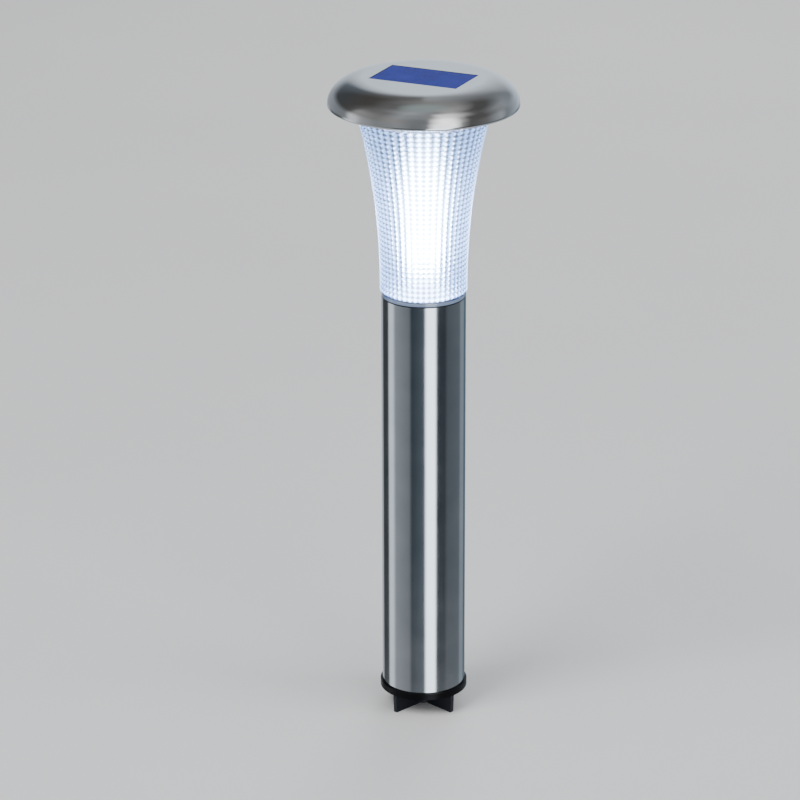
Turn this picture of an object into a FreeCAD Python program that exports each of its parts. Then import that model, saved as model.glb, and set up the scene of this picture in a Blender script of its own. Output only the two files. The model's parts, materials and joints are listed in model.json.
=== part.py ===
"""Solar garden light: a steel stem on a ground spike, a prismatic lens and a solar head.

Millimetres, +Z up. The origin is on the lamp's axis at soil level, so the ground spike is
below the XY plane and everything that is seen in use is above it.
"""
import FreeCAD, Part
import math
import os
import re
import Sketcher

# ---------------------------------------------------------------- driving sizes

SIZES = {
    # steel stem
    "tube_low": 19.0,
    "tube_length": 295.6,
    "tube_radius": 30.0,
    "tube_wall": 0.8,
    # black base ring, its plug in the stem and its square socket for the spike
    "ring_radius": 31.5,
    "ring_depth": 4.6,
    "ring_floor": 2.9,
    "plug_height": 20.0,
    "plug_wall": 2.2,
    "socket_side": 26.0,
    "socket_height": 32.0,
    "socket_roof": 2.0,
    # ground spike
    "spike_width": 59.4,
    "spike_shoulder": 57.0,
    "spike_shoulder_depth": 30.0,
    "spike_tip_depth": 145.0,
    "spike_tip_width": 3.0,
    "blade_thickness": 3.0,
    "spike_core": 5.5,
    "spike_core_tip": 1.5,
    "shank_side": 20.0,
    "shank_height": 28.0,
    "spike_turn": 45.0,
    # holder ring in the top of the stem
    "holder_lip": 0.7,
    "holder_depth": 16.0,
    "holder_wall": 1.9,
    # prismatic lens
    "lens_rim_height": 3.2,
    "lens_foot_radius": 30.7,
    "lens_foot_height": 5.5,
    "lens_sweep": 490.0,
    "lens_grid_height": 126.5,
    "lens_wall": 2.4,
    "mouth_radius": 44.6,
    "mouth_height": 5.0,
    "mouth_band": 8.0,
    "lens_plug_depth": 14.0,
    "lens_plug_wall": 1.7,
    "lens_ledge": 1.7,
    "lens_ledge_height": 1.0,
    # bayonet between lens and head, with the two sets of lugs side by side
    "lug_count": 3,
    "lug_angle": 24.0,
    "lug_height": 2.0,
    "lens_lug_first": 66.0,
    "lens_lug_drop": 1.0,
    "lens_lug_reach": 3.2,
    "tongue_first": 96.0,
    "tongue_radius": 37.6,
    "tongue_wall": 1.8,
    "tongue_angle": 30.0,
    "tongue_height": 6.0,
    "tongue_lug_reach": 2.6,
    # reflector cone at the foot of the lens
    "cone_radius": 24.9,
    "cone_flange": 1.9,
    "cone_flange_height": 1.2,
    "cone_height": 42.0,
    "cone_wall": 1.2,
    "cone_tip": 2.4,
    # seal between lens and head
    "seal_thickness": 0.7,
    "seal_inner": 41.4,
    # head tray
    "tray_floor": 2.0,
    "dish_depth": 7.0,
    "dish_wall": 2.0,
    "flange_radius": 64.5,
    "flange_thickness": 2.0,
    # steel cap
    "cap_radius": 66.9,
    "cap_flat": 41.8,
    "cap_sheet": 0.8,
    "flank_height": 18.9,
    "flank_radius": 15.0,
    "curl_radius": 1.6,
    "cap_rim_gap": 1.9,
    # window and solar module
    "window_length": 65.6,
    "window_width": 38.8,
    "window_turn": -24.5,
    "module_length": 70.0,
    "module_width": 43.0,
    "gasket_thickness": 0.5,
    "gasket_overlap": 0.4,
    "cover_thickness": 1.2,
    "cover_play": 0.15,
    "cover_sink": 0.2,
    "cell_thickness": 0.4,
    "cell_count": 4,
    "cell_gap": 0.5,
    "cell_margin": 2.0,
    "backing_thickness": 1.0,
    # studs and nuts that hold the tray in the cap
    "stud_count": 3,
    "stud_first": 90.0,
    "stud_circle": 49.0,
    "stud_radius": 1.5,
    "stud_drop": 19.5,
    "stud_weld": 1.3,
    "nut_radius": 3.2,
    "nut_height": 2.4,
    # circuit board
    "board_left": -18.0,
    "board_right": 29.0,
    "board_front": -30.0,
    "board_back": 5.0,
    "board_thickness": 1.6,
    "post_left": -14.0,
    "post_front": -24.0,
    "post_right": 25.0,
    "post_back": -8.0,
    "post_height": 4.0,
    "post_radius": 2.2,
    "post_hole": 1.0,
    "board_screw_radius": 0.95,
    "board_screw_length": 5.0,
    # driver chip and inductor on the board
    "chip_left": -10.0,
    "chip_front": -14.0,
    "chip_length": 5.0,
    "chip_width": 4.0,
    "chip_height": 1.6,
    "coil_across": 8.0,
    "coil_back": -14.0,
    "coil_radius": 3.0,
    "coil_height": 4.5,
    # light-emitting diode
    "led_radius": 2.5,
    "led_flange": 2.9,
    "led_flange_height": 1.0,
    "led_length": 8.6,
    "led_lift": 2.2,
    "led_lead": 0.5,
    "led_pitch": 2.54,
    "led_hole": 3.2,
    "led_stub": 1.0,
    # slide switch
    "switch_across": 22.0,
    "switch_forward": -27.0,
    "switch_length": 8.6,
    "switch_width": 4.4,
    "switch_height": 3.3,
    "knob_length": 2.4,
    "knob_width": 2.2,
    "knob_drop": 7.5,
    "knob_base_length": 3.6,
    "knob_base_height": 1.0,
    "knob_base_lift": 1.0,
    "knob_travel": 2.0,
    "knob_play": 0.3,
    # battery, its bay and its contacts
    "battery_back": 15.5,
    "battery_radius": 7.25,
    "battery_play": 0.2,
    "battery_length": 49.5,
    "nub_radius": 2.6,
    "nub_length": 1.0,
    "bay_clearance": 0.3,
    "bay_width": 15.2,
    "bay_wall": 1.2,
    "bay_height": 9.0,
    "contact_gap": 0.3,
    "contact_thickness": 0.5,
    "contact_width": 9.0,
    "contact_rise": 10.6,
    "spring_room": 5.8,
    "spring_plate": 0.4,
    "spring_wire": 0.35,
    "spring_wide": 3.6,
    "spring_narrow": 2.4,
    "spring_turns": 3.5,
    "spring_sink": 0.035,
    # battery door and its screws
    "door_thickness": 1.6,
    "door_lip": 1.7,
    "door_play": 0.35,
    "door_pad_sink": 0.3,
    "ear_across": 30.5,
    "ear_back": 13.0,
    "ear_radius": 3.5,
    "boss_radius": 2.6,
    "boss_height": 3.0,
    "door_screw_radius": 1.0,
    "door_screw_fit": 0.1,
    "door_screw_length": 5.6,
    "screw_head_radius": 1.9,
    "screw_head_height": 1.3,
    "screw_slot": 0.5,
    # insulated leads
    "lead_radius": 0.55,
    "lead_play": 0.2,
    "lead_straight": 4.0,
    "solar_lead_across": 2.0,
    "solar_lead_start": -18.0,
    "solar_lead_end": -24.0,
    "battery_lead_right": 20.0,
    "battery_lead_left": -13.0,
    "battery_lead_back": 1.0,
    # general clearances
    "press_gap": 0.1,
    "slide_gap": 0.3,
}

# Heights and radii that follow from the driving sizes.
DERIVED = {
    "ring_low": "tube_low - ring_depth",
    "tube_high": "tube_low + tube_length",
    "tube_bore": "tube_radius - tube_wall",
    "plug_radius": "tube_bore - press_gap",
    "socket_high": "ring_low + socket_height",
    "holder_high": "tube_high + holder_lip",
    "holder_bore": "tube_bore - press_gap - holder_wall",
    "lens_plug_radius": "holder_bore - slide_gap",
    "lens_plug_bore": "lens_plug_radius - lens_plug_wall",
    "lens_plug_low": "holder_high - lens_plug_depth",
    "grid_low": "holder_high + lens_rim_height",
    "grid_high": "grid_low + lens_grid_height",
    "sweep_low": "grid_low + lens_foot_height",
    "mouth_low": "grid_high - mouth_band",
    "lens_high": "grid_high + mouth_height",
    "mouth_bore": "mouth_radius - lens_wall",
    "cone_low": "lens_plug_low + lens_ledge_height",
    "tray_low": "lens_high + seal_thickness",
    "floor_high": "tray_low + tray_floor",
    "flange_low": "tray_low + dish_depth - flange_thickness",
    "flange_high": "tray_low + dish_depth",
    "dish_bore": "mouth_radius - dish_wall",
    "cap_low": "tray_low + cap_rim_gap",
    "flank_low": "cap_low + curl_radius",
    "cap_top": "flank_low + flank_height",
    "flank_out": "cap_radius - cap_flat",
    "shoulder_radius": "((flank_out - flank_radius) ^ 2 + flank_height ^ 2 - flank_radius ^ 2)"
                       " / (2 * (flank_height - flank_radius))",
    "shoulder_middle": "cap_top - shoulder_radius",
    "shoulder_out": "(flank_out - flank_radius) / (shoulder_radius - flank_radius)",
    "shoulder_up": "(shoulder_radius - flank_height) / (shoulder_radius - flank_radius)",
    "cap_under": "cap_top - cap_sheet",
    "cover_top": "cap_under - gasket_thickness",
    "cell_top": "cover_top - cover_thickness",
    "cell_low": "cell_top - cell_thickness",
    "backing_low": "cell_low - backing_thickness",
    "board_low": "floor_high + post_height",
    "board_high": "board_low + board_thickness",
    "led_top": "floor_high + led_lift",
    "led_low": "led_top - led_length",
    "bay_half": "battery_length / 2 + nub_length / 2 + contact_gap",
    "bay_right": "bay_half + contact_thickness",
    "bay_front": "battery_back - bay_width / 2",
    "bay_rear": "battery_back + bay_width / 2",
    "spring_end": "bay_half + spring_room",
    "pad_high": "floor_high - door_pad_sink",
    "battery_height": "pad_high + battery_radius + battery_play",
    "battery_top": "battery_height + battery_radius",
    "door_low": "tray_low - door_thickness",
}

doc = FreeCAD.newDocument("SolarGardenLight")
sheet = doc.addObject("Spreadsheet::Sheet", "dims")
for row, (alias, number) in enumerate(SIZES.items(), start=1):
    sheet.set(f"A{row}", alias)
    sheet.set(f"B{row}", str(number))
    sheet.setAlias(f"B{row}", alias)
doc.recompute()

subparts = []


# ---------------------------------------------------------------- shared helpers

def bind(formula):
    """A formula in the names above, written as an expression on the spreadsheet."""
    def expand(match):
        word = match.group(0)
        if word in DERIVED:
            return "(" + bind(DERIVED[word]) + ")"
        return "dims." + word if word in SIZES else word
    return re.sub(r"[a-z_]+", expand, str(formula))


def size(formula):
    """The number that a formula in the names above has now."""
    return float(sheet.evalExpression(bind(formula)))


def keep(item, label):
    """Give a finished sub-part its name and put it in the list of what is written."""
    item.Label = label
    subparts.append(item)
    return item


def new_body(label):
    return keep(doc.addObject("PartDesign::Body", "Body_" + label), label)


def new_sketch(body, role, level="0", turn="0"):
    """A sketch on one of the body's own origin planes, lifted by level and turned about its normal."""
    plane = next(item for item in body.Origin.OriginFeatures if item.Role == role)
    sketch = body.newObject("Sketcher::SketchObject", "Sketch")
    sketch.AttachmentSupport = (plane, [""])
    sketch.MapMode = "FlatFace"
    spin = FreeCAD.Rotation(FreeCAD.Vector(0, 0, 1), size(turn))
    sketch.AttachmentOffset = FreeCAD.Placement(FreeCAD.Vector(0, 0, 0), spin)
    sketch.setExpression("AttachmentOffset.Base.z", bind(level))
    return sketch


def fix_point(sketch, geometry, end, across, up):
    """Hold one point of a sketch at two formulas measured from the sketch's origin."""
    for kind, formula, axis in (("DistanceX", across, -2), ("DistanceY", up, -1)):
        if formula == "0":
            sketch.addConstraint(Sketcher.Constraint("PointOnObject", geometry, end, axis))
        else:
            rule = Sketcher.Constraint(kind, -1, 1, geometry, end, size(formula))
            index = sketch.addConstraint(rule)
            sketch.setExpression(f"Constraints[{index}]", bind(formula))


def arc_between(start, end, radius):
    """The short arc from start to end. Its centre is on the left of that way when radius is positive."""
    chord = end - start
    middle = (start + end) * 0.5
    left = FreeCAD.Vector(-chord.y, chord.x, 0).normalize()
    reach = math.sqrt(max(radius * radius - (chord.Length / 2) ** 2, 0.0))
    centre = middle + left * math.copysign(reach, radius)
    first, last = (start, end) if radius > 0 else (end, start)
    angles = [math.atan2(point.y - centre.y, point.x - centre.x) for point in (first, last)]
    circle = Part.Circle(centre, FreeCAD.Vector(0, 0, 1), abs(radius))
    return Part.ArcOfCircle(circle, angles[0], angles[1])


def add_outline(sketch, corners):
    """Close an outline through corners (across, up), or (across, up, radius, side) where an arc
    leads to the corner: side 1 has the arc's centre on the left of the way, side -1 on the right."""
    points = [FreeCAD.Vector(size(corner[0]), size(corner[1]), 0) for corner in corners]
    ends = []
    for index, corner in enumerate(corners):
        start = points[index - 1]
        if len(corner) == 2:
            geometry = sketch.addGeometry(Part.LineSegment(start, points[index]))
            ends.append((geometry, 1, 2))
        else:
            radius, side = corner[2], corner[3]
            geometry = sketch.addGeometry(arc_between(start, points[index], side * size(radius)))
            rule = sketch.addConstraint(Sketcher.Constraint("Radius", geometry, size(radius)))
            sketch.setExpression(f"Constraints[{rule}]", bind(radius))
            ends.append((geometry, 1, 2) if side > 0 else (geometry, 2, 1))
    for index, corner in enumerate(corners):
        geometry, _, last = ends[index]
        following, first, _ = ends[(index + 1) % len(ends)]
        sketch.addConstraint(Sketcher.Constraint("Coincident", geometry, last, following, first))
        fix_point(sketch, geometry, last, corner[0], corner[1])


def add_rectangle(sketch, left, right, front, back):
    add_outline(sketch, [(left, front), (right, front), (right, back), (left, back)])


def add_circle(sketch, across, up, radius):
    centre = FreeCAD.Vector(size(across), size(up), 0)
    circle = Part.Circle(centre, FreeCAD.Vector(0, 0, 1), size(radius))
    geometry = sketch.addGeometry(circle)
    fix_point(sketch, geometry, 3, across, up)
    rule = sketch.addConstraint(Sketcher.Constraint("Radius", geometry, size(radius)))
    sketch.setExpression(f"Constraints[{rule}]", bind(radius))


def turned(body, corners, role="XZ_Plane", angle="360"):
    """A solid of revolution about the lamp's axis, or a sector centred on the sketch's plane."""
    sketch = new_sketch(body, role)
    add_outline(sketch, corners)
    feature = body.newObject("PartDesign::Revolution", "Turned")
    feature.Profile = sketch
    feature.ReferenceAxis = (sketch, ["V_Axis"])
    feature.Midplane = True
    feature.setExpression("Angle", bind(angle))
    doc.recompute()
    return feature


def padded(body, sketch, length, both_ways=False):
    feature = body.newObject("PartDesign::Pad", "Padded")
    feature.Profile = sketch
    feature.Midplane = both_ways
    feature.setExpression("Length", bind(length))
    doc.recompute()
    return feature


def pocketed(body, sketch, depth):
    """Cut downwards from the sketch. Raises if nothing is cut."""
    before = body.Shape.Volume
    feature = body.newObject("PartDesign::Pocket", "Cut")
    feature.Profile = sketch
    feature.setExpression("Length", bind(depth))
    doc.recompute()
    if body.Shape.Volume > before - 0.01:
        raise RuntimeError(f"{body.Label}: a pocket cuts nothing")
    return feature


def turned_about_axis(item, turn):
    """Turn a whole sub-part about the lamp's axis."""
    spin = FreeCAD.Rotation(FreeCAD.Vector(0, 0, 1), size(turn))
    item.Placement = FreeCAD.Placement(FreeCAD.Vector(0, 0, 0), spin)


def box(left, right, front, back, low, high):
    item = doc.addObject("Part::Box", "Box")
    item.setExpression("Length", bind(f"({right}) - ({left})"))
    item.setExpression("Width", bind(f"({back}) - ({front})"))
    item.setExpression("Height", bind(f"({high}) - ({low})"))
    item.setExpression("Placement.Base.x", bind(left))
    item.setExpression("Placement.Base.y", bind(front))
    item.setExpression("Placement.Base.z", bind(low))
    return item


def cylinder(across, back, low, radius, height):
    item = doc.addObject("Part::Cylinder", "Cylinder")
    item.setExpression("Radius", bind(radius))
    item.setExpression("Height", bind(height))
    item.setExpression("Placement.Base.x", bind(across))
    item.setExpression("Placement.Base.y", bind(back))
    item.setExpression("Placement.Base.z", bind(low))
    return item


def lying_cylinder(left, back, height, radius, length):
    """A cylinder whose axis is parallel to X, starting at left."""
    item = doc.addObject("Part::Cylinder", "Lying")
    lie_down = FreeCAD.Rotation(FreeCAD.Vector(0, 1, 0), 90)
    item.Placement = FreeCAD.Placement(FreeCAD.Vector(0, 0, 0), lie_down)
    item.setExpression("Radius", bind(radius))
    item.setExpression("Height", bind(length))
    item.setExpression("Placement.Base.x", bind(left))
    item.setExpression("Placement.Base.y", bind(back))
    item.setExpression("Placement.Base.z", bind(height))
    return item


def ring_sector(inner, outer, low, height, angle, middle):
    """Part of a ring about the lamp's axis, centred on the direction middle, in degrees from X."""
    wedge = cylinder("0", "0", low, outer, height)
    wedge.setExpression("Angle", bind(angle))
    spin = FreeCAD.Rotation(FreeCAD.Vector(0, 0, 1), size(f"{middle} - ({angle}) / 2"))
    wedge.Placement = FreeCAD.Placement(wedge.Placement.Base, spin)
    return cut_from(wedge, cylinder("0", "0", low, inner, height))


def directions(first, count):
    """Formulas for count directions evenly round the lamp's axis, in degrees from X."""
    number = int(size(count))
    return [f"({first} + {index} * 360 / {count})" for index in range(number)]


def places_round(circle, first, count):
    """Places (across, back) on a circle about the lamp's axis."""
    return [(f"{circle} * cos({angle} * 1 deg)", f"{circle} * sin({angle} * 1 deg)")
            for angle in directions(first, count)]


def joined(items):
    fuse = doc.addObject("Part::MultiFuse", "Joined")
    fuse.Shapes = items
    return fuse


def grouped(items):
    """Separate solids that are one sub-part."""
    group = doc.addObject("Part::Compound", "Grouped")
    group.Links = items
    return group


def cut_from(base, tool):
    cut = doc.addObject("Part::Cut", "CutAway")
    cut.Base = base
    cut.Tool = tool
    return cut


# ---------------------------------------------------------------- stem and ground spike

def ground_spike():
    """Four blades that taper from the ring to a point, round a core, with a square shank on top."""
    body = new_body("ground_spike")
    blade = [
        ("-spike_width / 2", "ring_low"),
        ("-spike_shoulder / 2", "ring_low - spike_shoulder_depth"),
        ("-spike_tip_width / 2", "-spike_tip_depth"),
        ("spike_tip_width / 2", "-spike_tip_depth"),
        ("spike_shoulder / 2", "ring_low - spike_shoulder_depth"),
        ("spike_width / 2", "ring_low"),
    ]
    for role in ("XZ_Plane", "YZ_Plane"):
        sketch = new_sketch(body, role)
        add_outline(sketch, blade)
        padded(body, sketch, "blade_thickness", both_ways=True)
    turned(body, [
        ("0", "ring_low"),
        ("spike_core", "ring_low"),
        ("spike_core_tip", "-spike_tip_depth"),
        ("0", "-spike_tip_depth"),
    ])
    shank = new_sketch(body, "XY_Plane", "ring_low")
    half = "shank_side / 2"
    add_rectangle(shank, "-" + half, half, "-" + half, half)
    padded(body, shank, "shank_height")
    turned_about_axis(body, "spike_turn")


def base_socket():
    body = new_body("base_socket")
    turned(body, [
        ("0", "ring_low"),
        ("ring_radius", "ring_low"),
        ("ring_radius", "tube_low"),
        ("plug_radius", "tube_low"),
        ("plug_radius", "tube_low + plug_height"),
        ("plug_radius - plug_wall", "tube_low + plug_height"),
        ("plug_radius - plug_wall", "ring_low + ring_floor"),
        ("0", "ring_low + ring_floor"),
    ])
    outside = new_sketch(body, "XY_Plane", "ring_low")
    half = "socket_side / 2"
    add_rectangle(outside, "-" + half, half, "-" + half, half)
    padded(body, outside, "socket_height")
    inside = new_sketch(body, "XY_Plane", "socket_high - socket_roof")
    half = "(shank_side / 2 + slide_gap)"
    add_rectangle(inside, "-" + half, half, "-" + half, half)
    pocketed(body, inside, "socket_height - socket_roof")
    turned_about_axis(body, "spike_turn")


def stem_tube():
    body = new_body("stem_tube")
    sketch = new_sketch(body, "XY_Plane", "tube_low")
    add_circle(sketch, "0", "0", "tube_radius")
    add_circle(sketch, "0", "0", "tube_bore")
    padded(body, sketch, "tube_length")


def lens_holder():
    body = new_body("lens_holder")
    turned(body, [
        ("holder_bore", "tube_high - holder_depth"),
        ("tube_bore - press_gap", "tube_high - holder_depth"),
        ("tube_bore - press_gap", "tube_high"),
        ("tube_radius", "tube_high"),
        ("tube_radius", "holder_high"),
        ("holder_bore", "holder_high"),
    ])


# ---------------------------------------------------------------- lens and reflector

def sweep_at(level, inward="0"):
    """Radius of the lens's flaring outside at a level, or of a face inward of it."""
    rise = f"({level} - sweep_low)"
    return f"lens_foot_radius + lens_sweep - sqrt((lens_sweep + {inward}) ^ 2 - {rise} ^ 2)"


def prismatic_lens():
    body = new_body("prismatic_lens")
    turned(body, [
        ("lens_plug_radius", "lens_plug_low"),
        ("lens_plug_radius", "holder_high"),
        ("tube_radius", "holder_high"),
        ("tube_radius", "grid_low"),
        ("lens_foot_radius", "grid_low"),
        ("lens_foot_radius", "sweep_low"),
        (sweep_at("mouth_low"), "mouth_low", "lens_sweep", -1),
        (sweep_at("mouth_low", "lens_wall"), "mouth_low"),
        ("lens_foot_radius - lens_wall", "sweep_low", "lens_sweep + lens_wall", 1),
        ("lens_foot_radius - lens_wall", "grid_low"),
        ("lens_plug_bore", "holder_high"),
        ("lens_plug_bore", "cone_low"),
        ("lens_plug_bore - lens_ledge", "cone_low"),
        ("lens_plug_bore - lens_ledge", "lens_plug_low"),
    ])


def lens_mouth():
    """The top of the same moulding, with its smooth rim."""
    body = new_body("lens_mouth")
    turned(body, [
        (sweep_at("mouth_low"), "mouth_low"),
        (sweep_at("grid_high"), "grid_high", "lens_sweep", -1),
        ("mouth_radius", "grid_high"),
        ("mouth_radius", "lens_high"),
        ("mouth_bore", "lens_high"),
        ("mouth_bore", "grid_high"),
        (sweep_at("grid_high - lens_wall", "lens_wall"), "grid_high - lens_wall"),
        (sweep_at("mouth_low", "lens_wall"), "mouth_low", "lens_sweep + lens_wall", 1),
    ])


def lens_lugs():
    """The moulding's three lugs, which hold the head's lugs down."""
    lug_low = "lens_high - lens_lug_drop - lug_height"
    lugs = []
    for middle in directions("lens_lug_first", "lug_count"):
        lugs.append(ring_sector("mouth_bore - lens_lug_reach", "mouth_bore", lug_low, "lug_height",
                                "lug_angle", middle))
    keep(grouped(lugs), "lens_lugs")


def reflector_cone():
    body = new_body("reflector_cone")
    turned(body, [
        ("cone_radius", "cone_low"),
        ("cone_radius", "cone_low + cone_flange_height"),
        ("cone_radius - cone_flange", "cone_low + cone_flange_height"),
        ("0", "cone_low + cone_height"),
        ("0", "cone_low + cone_height - cone_tip"),
        ("cone_radius - cone_flange - cone_wall", "cone_low"),
    ])


def mouth_seal():
    body = new_body("mouth_seal")
    sketch = new_sketch(body, "XY_Plane", "lens_high")
    add_circle(sketch, "0", "0", "mouth_radius")
    add_circle(sketch, "0", "0", "seal_inner")
    padded(body, sketch, "seal_thickness")


# ---------------------------------------------------------------- head: cap and solar module

def shoulder_end(radius):
    """Where a shoulder arc of this radius runs into the steeper arc of the flank."""
    return f"cap_flat + ({radius}) * shoulder_out", f"shoulder_middle + ({radius}) * shoulder_up"


def head_cap():
    body = new_body("head_cap")
    turned(body, [
        ("0", "cap_top"),
        ("0", "cap_under"),
        ("cap_flat", "cap_under"),
        (*shoulder_end("shoulder_radius - cap_sheet"), "shoulder_radius - cap_sheet", -1),
        ("cap_radius - cap_sheet", "flank_low", "flank_radius - cap_sheet", -1),
        ("cap_radius - curl_radius", "cap_low + cap_sheet", "curl_radius - cap_sheet", -1),
        ("cap_radius - curl_radius", "cap_low"),
        ("cap_radius", "flank_low", "curl_radius", 1),
        (*shoulder_end("shoulder_radius"), "flank_radius", 1),
        ("cap_flat", "cap_top", "shoulder_radius", 1),
    ])
    window = new_sketch(body, "XY_Plane", "cap_top", "window_turn")
    add_rectangle(window, "-window_length / 2", "window_length / 2",
                  "-window_width / 2", "window_width / 2")
    pocketed(body, window, "cap_sheet")
    return body


def flat_plate(label, length, width, low, thickness):
    """A rectangular plate under the window, turned with it."""
    body = new_body(label)
    sketch = new_sketch(body, "XY_Plane", low, "window_turn")
    add_rectangle(sketch, f"-({length}) / 2", f"({length}) / 2", f"-({width}) / 2", f"({width}) / 2")
    padded(body, sketch, thickness)
    return body


def window_gasket():
    body = flat_plate("window_gasket", "module_length", "module_width", "cover_top", "gasket_thickness")
    opening = new_sketch(body, "XY_Plane", "cap_under", "window_turn")
    half_length = "(window_length / 2 - gasket_overlap)"
    half_width = "(window_width / 2 - gasket_overlap)"
    add_rectangle(opening, "-" + half_length, half_length, "-" + half_width, half_width)
    pocketed(body, opening, "gasket_thickness")


def solar_cover():
    """A clear cover with a raised middle that fills the window."""
    body = flat_plate("solar_cover", "module_length", "module_width", "cell_top", "cover_thickness")
    middle = new_sketch(body, "XY_Plane", "cover_top", "window_turn")
    half_length = "(window_length / 2 - gasket_overlap - cover_play)"
    half_width = "(window_width / 2 - gasket_overlap - cover_play)"
    add_rectangle(middle, "-" + half_length, half_length, "-" + half_width, half_width)
    padded(body, middle, "cap_top - cover_sink - cover_top")


def solar_cells():
    """Strips of silicon side by side along the module's length."""
    strips = []
    strip = "((module_length - 2 * cell_margin + cell_gap) / cell_count - cell_gap)"
    for index in range(int(size("cell_count"))):
        left = f"-module_length / 2 + cell_margin + {index} * ({strip} + cell_gap)"
        half_width = "(module_width / 2 - cell_margin)"
        strips.append(box(left, f"{left} + {strip}", "-" + half_width, half_width,
                          "cell_low", "cell_top"))
    group = keep(grouped(strips), "solar_cells")
    turned_about_axis(group, "window_turn")


STUD_PLACES = places_round("stud_circle", "stud_first", "stud_count")


def cap_studs(cap):
    """Studs welded under the cap, their tops shaped to it."""
    length = "stud_drop - stud_weld"
    studs = [cut_from(cylinder(across, back, "cap_under - stud_drop", "stud_radius", length), cap)
             for across, back in STUD_PLACES]
    keep(grouped(studs), "cap_studs")


def stud_nuts():
    nuts = []
    low = "flange_low - nut_height"
    for across, back in STUD_PLACES:
        hexagon = doc.addObject("Part::Prism", "Hexagon")
        hexagon.Polygon = 6
        hexagon.setExpression("Circumradius", bind("nut_radius"))
        hexagon.setExpression("Height", bind("nut_height"))
        hexagon.setExpression("Placement.Base.x", bind(across))
        hexagon.setExpression("Placement.Base.y", bind(back))
        hexagon.setExpression("Placement.Base.z", bind(low))
        nuts.append(cut_from(hexagon, cylinder(across, back, low, "stud_radius", "nut_height")))
    keep(grouped(nuts), "stud_nuts")


# ---------------------------------------------------------------- head: tray

POSTS = [("post_left", "post_front"), ("post_right", "post_back")]


def head_tray():
    body = new_body("head_tray")
    turned(body, [
        ("0", "tray_low"),
        ("mouth_radius", "tray_low"),
        ("mouth_radius", "flange_low"),
        ("flange_radius", "flange_low"),
        ("flange_radius", "flange_high"),
        ("dish_bore", "flange_high"),
        ("dish_bore", "floor_high"),
        ("0", "floor_high"),
    ])
    tray_bay(body)
    tray_posts(body)
    tray_holes(body)


def bayonet_tongues():
    """Tongues under the tray that reach into the lens, each with a lug at its foot."""
    low = "tray_low - tongue_height"
    tongues = []
    for middle in directions("tongue_first", "lug_count"):
        tongue = ring_sector("tongue_radius - tongue_wall", "tongue_radius", low, "tongue_height",
                             "tongue_angle", middle)
        lug = ring_sector("tongue_radius", "tongue_radius + tongue_lug_reach", low, "lug_height",
                          "lug_angle", middle)
        tongues.append(joined([tongue, lug]))
    keep(grouped(tongues), "bayonet_tongues")


def tray_bay(body):
    """Walls round the battery, open to the door below."""
    walls = new_sketch(body, "XY_Plane", "floor_high")
    add_rectangle(walls, "-spring_end - bay_wall", "bay_right + bay_wall",
                  "bay_front - bay_wall", "bay_rear + bay_wall")
    add_rectangle(walls, "-spring_end", "bay_right", "bay_front", "bay_rear")
    padded(body, walls, "bay_height")
    for side in ("-", ""):
        boss = new_sketch(body, "XY_Plane", "floor_high")
        add_circle(boss, side + "ear_across", "ear_back", "boss_radius")
        padded(body, boss, "boss_height")


def tray_posts(body):
    for across, back in POSTS:
        post = new_sketch(body, "XY_Plane", "floor_high")
        add_circle(post, across, back, "post_radius")
        padded(body, post, "post_height")


def tray_holes(body):
    mouth = new_sketch(body, "XY_Plane", "floor_high")
    add_rectangle(mouth, "-bay_half", "bay_half", "bay_front", "bay_rear")
    pocketed(body, mouth, "tray_floor")
    lamp = new_sketch(body, "XY_Plane", "floor_high")
    add_circle(lamp, "0", "0", "led_hole")
    slot = "(knob_length / 2 + knob_play)"
    half = "(knob_width / 2 + knob_play)"
    add_rectangle(lamp, f"switch_across - {slot}", f"switch_across + {slot} + knob_travel",
                  f"switch_forward - {half}", f"switch_forward + {half}")
    pocketed(body, lamp, "tray_floor")
    screws = new_sketch(body, "XY_Plane", "floor_high + boss_height")
    for side in ("-", ""):
        add_circle(screws, side + "ear_across", "ear_back", "door_screw_radius + door_screw_fit")
    pocketed(body, screws, "boss_height + tray_floor")
    posts = new_sketch(body, "XY_Plane", "board_low")
    for across, back in POSTS:
        add_circle(posts, across, back, "post_hole")
    pocketed(body, posts, "post_height")
    studs = new_sketch(body, "XY_Plane", "flange_high")
    for across, back in STUD_PLACES:
        add_circle(studs, across, back, "stud_radius + press_gap")
    pocketed(body, studs, "flange_thickness")


# ---------------------------------------------------------------- head: electronics

def circuit_board():
    body = new_body("circuit_board")
    sketch = new_sketch(body, "XY_Plane", "board_low")
    add_rectangle(sketch, "board_left", "board_right", "board_front", "board_back")
    for across, back in POSTS:
        add_circle(sketch, across, back, "post_hole + press_gap")
    for side in ("-", ""):
        add_circle(sketch, side + "led_pitch / 2", "0", "led_lead")
    padded(body, sketch, "board_thickness")


def pan_screw(across, back, head_low, length, radius, pointing_up):
    """A slotted pan-head screw. head_low is the lower side of its head, wherever the shank points."""
    head = cylinder(across, back, head_low, "screw_head_radius", "screw_head_height")
    if pointing_up:
        shank_low = f"{head_low} + screw_head_height"
        slot_low = head_low
    else:
        shank_low = f"{head_low} - ({length})"
        slot_low = f"{head_low} + screw_head_height - screw_slot"
    shank = cylinder(across, back, shank_low, radius, length)
    slot = box(f"{across} - screw_head_radius", f"{across} + screw_head_radius",
               f"{back} - screw_slot / 2", f"{back} + screw_slot / 2",
               slot_low, f"{slot_low} + screw_slot")
    return cut_from(joined([head, shank]), slot)


def board_screws():
    screws = []
    for across, back in POSTS:
        screws.append(pan_screw(across, back, "board_high", "board_screw_length",
                                "board_screw_radius", False))
    keep(grouped(screws), "board_screws")


def driver_chip():
    keep(box("chip_left", "chip_left + chip_length", "chip_front", "chip_front + chip_width",
             "board_high", "board_high + chip_height"), "driver_chip")


def inductor():
    keep(cylinder("coil_across", "coil_back", "board_high", "coil_radius", "coil_height"), "inductor")


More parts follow.
